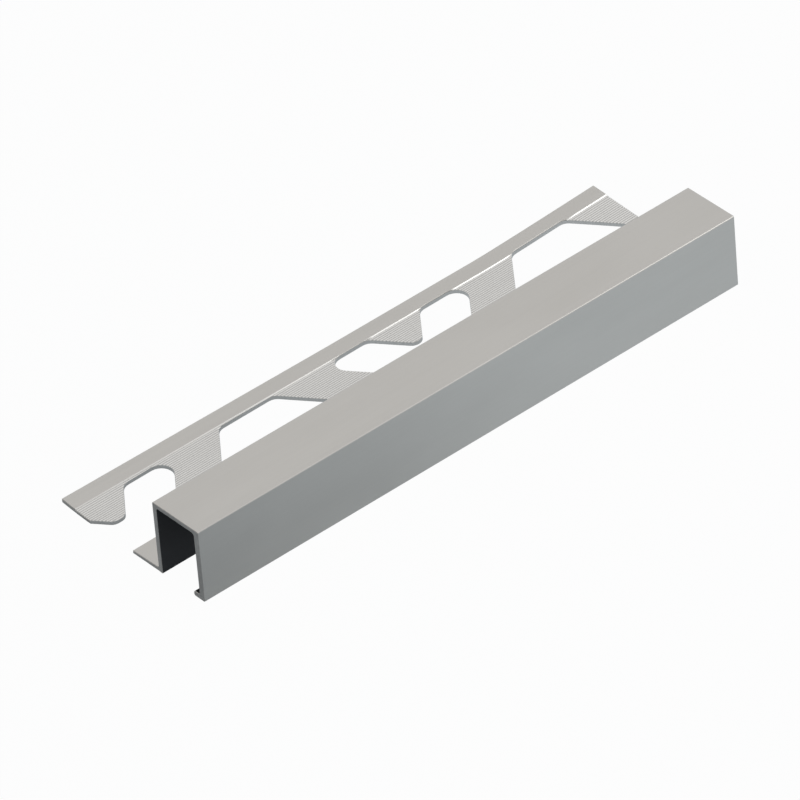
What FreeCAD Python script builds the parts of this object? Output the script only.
import FreeCAD, Part
import math
import os
import Sketcher

# Tile edge trim: a short length of extruded aluminium, in millimetres.
#
# The section is a square-edged cover strip, an upside-down channel with a front wall, a top and
# a back wall, open below. The front wall ends in a small lip turned inwards. A thin leg runs
# outwards from the foot of the back wall. The tile adhesive grips the leg through the holes that
# a press has punched in it, and the tile lies on it against the back wall.
#
# While it is drawn, x = 0 is the near end, y = 0 the front face and z = 0 the underside. The
# finished piece is placed with its origin at the middle of its underside.

DRIVING_SIZES = {
    # cover strip
    "piece_length": 101.6,
    "box_width": 10.0,
    "box_height": 12.5,
    "front_thickness": 1.0,
    "back_thickness": 0.8,
    "top_thickness": 0.75,
    "lip_reach": 1.3,
    "lip_thickness": 0.9,
    # leg
    "leg_reach": 21.5,
    "leg_thickness": 0.7,
    "foot_width": 5.68,
    "strip_width": 3.48,
    # rounding of the die
    "outer_round": 0.25,
    "inner_round": 0.45,
    "lip_round": 0.4,
    "edge_round": 0.15,
    "heel_round": 0.3,
    # punched holes
    "hole_pitch": 56.5,
    "first_hole": 32.0,
    "row_skew": 0.54,
    "web_angle": 52.3,
    "trapezoid_top": 10.35,
    "double_top": 28.84,
    "tongue_root": 10.2,
    "tongue_length": 5.62,
    "sharp_round": 2.0,
    "blunt_round": 1.8,
    "tip_round": 1.45,
    "punch_overlap": 2.0,
    "feed_slip": 0.5,
}

size = dict(DRIVING_SIZES)

doc = FreeCAD.newDocument("tile_trim")
sheet = doc.addObject("Spreadsheet::Sheet", "Sizes")
for row, (alias, value) in enumerate(DRIVING_SIZES.items(), start=1):
    sheet.set(f"A{row}", alias.replace("_", " "))
    sheet.set(f"B{row}", str(value))
    sheet.setAlias(f"B{row}", alias)
doc.recompute()


def cell(alias):
    """Name of a driving size as an expression writes it."""
    return f"Sizes.{alias}"


class Side:
    """One straight side of an outline, walked with the material on its left.

    A level side has its height, an upright side its distance along the sketch. A sloping side
    is given by where it meets the line of the holes' outer edge. Each place is a number and the
    expression that it comes from.
    """

    def __init__(self, kind, place, formula, heading, heading_formula=None):
        self.kind = kind
        self.place = place
        self.formula = formula
        self.heading = heading
        self.heading_formula = heading_formula

    def point(self, root_height):
        if self.kind == "level":
            return (0.0, self.place)
        if self.kind == "upright":
            return (self.place, 0.0)
        return (self.place, root_height)

    def direction(self):
        turn = math.radians(self.heading)
        return (math.cos(turn), math.sin(turn))


def crossing(first, second, root_height):
    """Point where two sides' lines meet."""
    px, py = first.point(root_height)
    qx, qy = second.point(root_height)
    ax, ay = first.direction()
    bx, by = second.direction()
    run = ((qx - px) * by - (qy - py) * bx) / (ax * by - ay * bx)
    return FreeCAD.Vector(px + run * ax, py + run * ay, 0)


def place_side(sketch, line, side, name, root_height, root_formula):
    """Fix one side's direction and distance, tied to the sheet."""
    if side.kind == "level":
        sketch.addConstraint(Sketcher.Constraint("Horizontal", line))
        if side.formula is None:
            sketch.addConstraint(Sketcher.Constraint("PointOnObject", line, 1, -1))
            return
        number = sketch.addConstraint(
            Sketcher.Constraint("DistanceY", -1, 1, line, 1, side.place))
        sketch.renameConstraint(number, name)
        sketch.setExpression(f"Constraints.{name}", side.formula)
        return
    if side.kind == "upright":
        sketch.addConstraint(Sketcher.Constraint("Vertical", line))
        if side.formula is None:
            sketch.addConstraint(Sketcher.Constraint("PointOnObject", line, 1, -2))
            return
        number = sketch.addConstraint(
            Sketcher.Constraint("DistanceX", -1, 1, line, 1, side.place))
        sketch.renameConstraint(number, name)
        sketch.setExpression(f"Constraints.{name}", side.formula)
        return
    root = sketch.addGeometry(Part.Point(FreeCAD.Vector(side.place, root_height, 0)), True)
    across = sketch.addConstraint(Sketcher.Constraint("DistanceX", -1, 1, root, 1, side.place))
    sketch.renameConstraint(across, f"{name}_root")
    sketch.setExpression(f"Constraints.{name}_root", side.formula)
    height = sketch.addConstraint(Sketcher.Constraint("DistanceY", -1, 1, root, 1, root_height))
    sketch.renameConstraint(height, f"{name}_level")
    sketch.setExpression(f"Constraints.{name}_level", root_formula)
    sketch.addConstraint(Sketcher.Constraint("PointOnObject", root, 1, line))
    slope = sketch.addConstraint(Sketcher.Constraint("Angle", line, math.radians(side.heading)))
    sketch.renameConstraint(slope, f"{name}_slope")
    sketch.setExpression(f"Constraints.{name}_slope", side.heading_formula)


def draw_outline(sketch, sides, rounds, root_height=0.0, root_formula="0"):
    """Draw a closed outline of straight sides whose corners are rounded.

    rounds[i] names the size that rounds the corner after side i, or is None for a sharp corner.
    """
    count = len(sides)
    corners = [crossing(sides[i], sides[(i + 1) % count], root_height) for i in range(count)]
    cut_back = []
    for i in range(count):
        turn = (sides[(i + 1) % count].heading - sides[i].heading + 180) % 360 - 180
        radius = size[rounds[i]] if rounds[i] else 0.0
        cut_back.append((turn, radius, radius * math.tan(math.radians(abs(turn)) / 2)))

    lines = []
    for i in range(count):
        ahead = FreeCAD.Vector(*sides[i].direction(), 0)
        start = corners[i - 1] + ahead * cut_back[i - 1][2]
        end = corners[i] - ahead * cut_back[i][2]
        lines.append(sketch.addGeometry(Part.LineSegment(start, end), False))

    for i in range(count):
        following = (i + 1) % count
        turn, radius, back = cut_back[i]
        if radius == 0.0:
            sketch.addConstraint(
                Sketcher.Constraint("Coincident", lines[i], 2, lines[following], 1))
            continue
        ahead = sides[i].direction()
        inward = FreeCAD.Vector(-ahead[1], ahead[0], 0) * (1 if turn > 0 else -1)
        touch = corners[i] - FreeCAD.Vector(*ahead, 0) * back
        centre = touch + inward * radius
        began = math.atan2(-inward.y, -inward.x)
        low, high = sorted((began, began + math.radians(turn)))
        circle = Part.Circle(centre, FreeCAD.Vector(0, 0, 1), radius)
        arc = sketch.addGeometry(Part.ArcOfCircle(circle, low, high), False)
        first_end, second_end = (1, 2) if turn > 0 else (2, 1)
        sketch.addConstraint(Sketcher.Constraint("Tangent", lines[i], 2, arc, first_end))
        sketch.addConstraint(
            Sketcher.Constraint("Tangent", lines[following], 1, arc, second_end))
        number = sketch.addConstraint(Sketcher.Constraint("Radius", arc, radius))
        sketch.renameConstraint(number, f"round_{i + 1}")
        sketch.setExpression(f"Constraints.round_{i + 1}", cell(rounds[i]))

    for i in range(count):
        place_side(sketch, lines[i], sides[i], f"side_{i + 1}", root_height, root_formula)


def origin_plane(body, role):
    return next(plane for plane in body.Origin.OriginFeatures if plane.Role == role)


def new_sketch(body, name, role):
    sketch = body.newObject("Sketcher::SketchObject", name)
    sketch.AttachmentSupport = [(origin_plane(body, role), "")]
    sketch.MapMode = "FlatFace"
    return sketch


def level(place, formula, heading):
    return Side("level", place, formula, heading)


def upright(place, formula, heading):
    return Side("upright", place, formula, heading)


RIGHT, UP, LEFT, DOWN = 0, 90, 180, 270

# Extruded section, drawn across the length: y to the right, z up.
body = doc.addObject("PartDesign::Body", "TrimBody")
body.Label = "tile_trim"

lip_tip = size["front_thickness"] + size["lip_reach"]
lip_tip_formula = f"{cell('front_thickness')} + {cell('lip_reach')}"
ceiling = size["box_height"] - size["top_thickness"]
ceiling_formula = f"{cell('box_height')} - {cell('top_thickness')}"
back_inside = size["box_width"] - size["back_thickness"]
back_inside_formula = f"{cell('box_width')} - {cell('back_thickness')}"
leg_edge = size["box_width"] + size["leg_reach"]
leg_edge_formula = f"{cell('box_width')} + {cell('leg_reach')}"

section_sides = [
    level(0, None, RIGHT),
    upright(lip_tip, lip_tip_formula, UP),
    level(size["lip_thickness"], cell("lip_thickness"), LEFT),
    upright(size["front_thickness"], cell("front_thickness"), UP),
    level(ceiling, ceiling_formula, RIGHT),
    upright(back_inside, back_inside_formula, DOWN),
    level(0, None, RIGHT),
    upright(leg_edge, leg_edge_formula, UP),
    level(size["leg_thickness"], cell("leg_thickness"), LEFT),
    upright(size["box_width"], cell("box_width"), UP),
    level(size["box_height"], cell("box_height"), LEFT),
    upright(0, None, DOWN),
]
section_rounds = [
    "lip_round", "lip_round", "heel_round", "inner_round", "inner_round", None, "edge_round",
    "edge_round", "heel_round", "outer_round", "outer_round", "edge_round",
]
section = new_sketch(body, "Section", "YZ_Plane")
draw_outline(section, section_sides, section_rounds)
extrusion = body.newObject("PartDesign::Pad", "Extrusion")
extrusion.Profile = section
extrusion.setExpression("Length", cell("piece_length"))
doc.recompute()

# Punched holes, drawn on the underside: x along the piece, y outwards.
#
# Two kinds of hole take turns along the leg and leave webs that lean left and right in turn. A
# trapezoid is wide at the foot. The next hole is wide at the outer strip and has a free tongue
# hanging into it. It is struck by a left and a right punch that overlap below the tongue. The
# stock ran a little askew through the press, so the whole row drifts outwards along the piece.
hole_outer = leg_edge - size["strip_width"]
hole_outer_formula = f"{leg_edge_formula} - {cell('strip_width')}"
hole_inner = size["box_width"] + size["foot_width"]
hole_inner_formula = f"{cell('box_width')} + {cell('foot_width')}"
tongue_tip = hole_outer - size["tongue_length"]
tongue_tip_formula = f"{hole_outer_formula} - {cell('tongue_length')}"
web_slope = cell("web_angle") + " * 1 deg"
LEAST_CHIP = 0.001  # mm3, less than this is no hole


def sloping(centre, centre_formula, width, sign, heading, heading_formula):
    """Side that meets the holes' outer edge half a width left or right of a centre."""
    return Side("sloping", centre + sign * size[width] / 2,
                f"{centre_formula} {'+' if sign > 0 else '-'} {cell(width)} / 2",
                heading, heading_formula)


def trapezoid_hole(centre, formula):
    """Hole that widens from the strip to the foot."""
    angle = size["web_angle"]
    sides = [
        level(hole_inner, hole_inner_formula, RIGHT),
        sloping(centre, formula, "trapezoid_top", 1, 180 - angle, f"180 deg - {web_slope}"),
        level(hole_outer, hole_outer_formula, LEFT),
        sloping(centre, formula, "trapezoid_top", -1, 180 + angle, f"180 deg + {web_slope}"),
    ]
    return sides, ["sharp_round", "blunt_round", "blunt_round", "sharp_round"]


def left_punch(centre, formula):
    """Left half of the tongue's hole, run a little past the centre below the tongue."""
    angle = size["web_angle"]
    sides = [
        level(hole_inner, hole_inner_formula, RIGHT),
        upright(centre + size["punch_overlap"], f"{formula} + {cell('punch_overlap')}", UP),
        level(tongue_tip, tongue_tip_formula, LEFT),
        sloping(centre, formula, "tongue_root", -1, 180 - angle, f"180 deg - {web_slope}"),
        level(hole_outer, hole_outer_formula, LEFT),
        sloping(centre, formula, "double_top", -1, 360 - angle, f"360 deg - {web_slope}"),
    ]
    return sides, [None, None, "tip_round", "blunt_round", "sharp_round", "blunt_round"]


def right_punch(centre, formula):
    """Right half of the tongue's hole, the mirror image of the left one."""
    angle = size["web_angle"]
    sides = [
        level(hole_inner, hole_inner_formula, RIGHT),
        sloping(centre, formula, "double_top", 1, angle, web_slope),
        level(hole_outer, hole_outer_formula, LEFT),
        sloping(centre, formula, "tongue_root", 1, 180 + angle, f"180 deg + {web_slope}"),
        level(tongue_tip, tongue_tip_formula, LEFT),
        upright(centre - size["punch_overlap"], f"{formula} - {cell('punch_overlap')}", DOWN),
    ]
    return sides, ["blunt_round", "sharp_round", "blunt_round", "tip_round", None, None]


def punch(name, outline, centre, formula):
    """Punch one hole up through the leg and make sure that it took metal away."""
    before = body.Tip.Shape.Volume
    sketch = new_sketch(body, f"{name}Outline", "XY_Plane")
    sketch.AttachmentOffset = FreeCAD.Placement(
        FreeCAD.Vector(0, 0, 0), FreeCAD.Rotation(FreeCAD.Vector(0, 0, 1), size["row_skew"]))
    sketch.setExpression("AttachmentOffset.Rotation.Angle", f"{cell('row_skew')} * 1 deg")
    sides, rounds = outline(centre, formula)
    draw_outline(sketch, sides, rounds, hole_outer, hole_outer_formula)
    pocket = body.newObject("PartDesign::Pocket", name)
    pocket.Profile = sketch
    pocket.Reversed = True
    pocket.setExpression("Length", cell("leg_thickness") + " * 2")
    doc.recompute()
    taken = before - pocket.Shape.Volume
    if taken < LEAST_CHIP:
        raise RuntimeError(f"{name} takes nothing away")
    print(f"{name}: centre {centre:.2f}, takes {taken:.2f} mm3")


# How far each outline reaches before and after its centre along the piece.
slope_run = (hole_outer - hole_inner) / math.tan(math.radians(size["web_angle"]))
trapezoid_half = size["trapezoid_top"] / 2 + slope_run
double_half = size["double_top"] / 2
END_MARGIN = 0.5
# a rounded sharp corner stops this far short of where its two sides meet
sharp_setback = size["sharp_round"] * (1 / math.tan(math.radians(size["web_angle"]) / 2) - 1)


def reaches_piece(low, high):
    return low < size["piece_length"] - END_MARGIN and high > END_MARGIN


steps = range(-2, int(size["piece_length"] / size["hole_pitch"]) + 3)
for step in steps:
    centre = size["first_hole"] + step * size["hole_pitch"]
    formula = f"{cell('first_hole')} + {step} * {cell('hole_pitch')}"
    half = trapezoid_half - sharp_setback
    if reaches_piece(centre - half, centre + half):
        punch(f"TrapezoidHole{step + 3}", trapezoid_hole, centre, formula)

for step in steps:
    right_centre = size["first_hole"] + (step + 0.5) * size["hole_pitch"]
    right_formula = f"{cell('first_hole')} + {step + 0.5} * {cell('hole_pitch')}"
    right_start = right_centre - size["punch_overlap"]
    if reaches_piece(right_start, right_centre + double_half - sharp_setback):
        punch(f"RightPunch{step + 3}", right_punch, right_centre, right_formula)
    # the stock had slipped in the press when the left punch nearest the near end came down
    slip = size["feed_slip"] if step < 0 else 0.0
    left_formula = f"{right_formula} - {cell('feed_slip')}" if step < 0 else right_formula
    left_centre = right_centre - slip
    if reaches_piece(left_centre - double_half + sharp_setback, right_start):
        punch(f"LeftPunch{step + 3}", left_punch, left_centre, left_formula)

body.setExpression("Placement.Base.x", f"-{cell('piece_length')} / 2")
body.setExpression("Placement.Base.y", f"-({leg_edge_formula}) / 2")
doc.recompute()

for item in doc.Objects:
    if "Invalid" in item.State or "Error" in item.State:
        raise RuntimeError(f"{item.Label} failed: {item.State}")
if body.Shape.isNull() or not body.Shape.isValid():
    raise RuntimeError("the trim is not a valid solid")
if len(body.Shape.Solids) != 1:
    raise RuntimeError(f"the trim fell into {len(body.Shape.Solids)} solids")

box = body.Shape.BoundBox
print(f"{body.Label}: volume {body.Shape.Volume:.2f} mm3, x {box.XMin:.2f} to {box.XMax:.2f}, "
      f"y {box.YMin:.2f} to {box.YMax:.2f}, z {box.ZMin:.2f} to {box.ZMax:.2f}")

os.makedirs("parts", exist_ok=True)
body.Shape.exportStep(f"parts/{body.Label}.step")
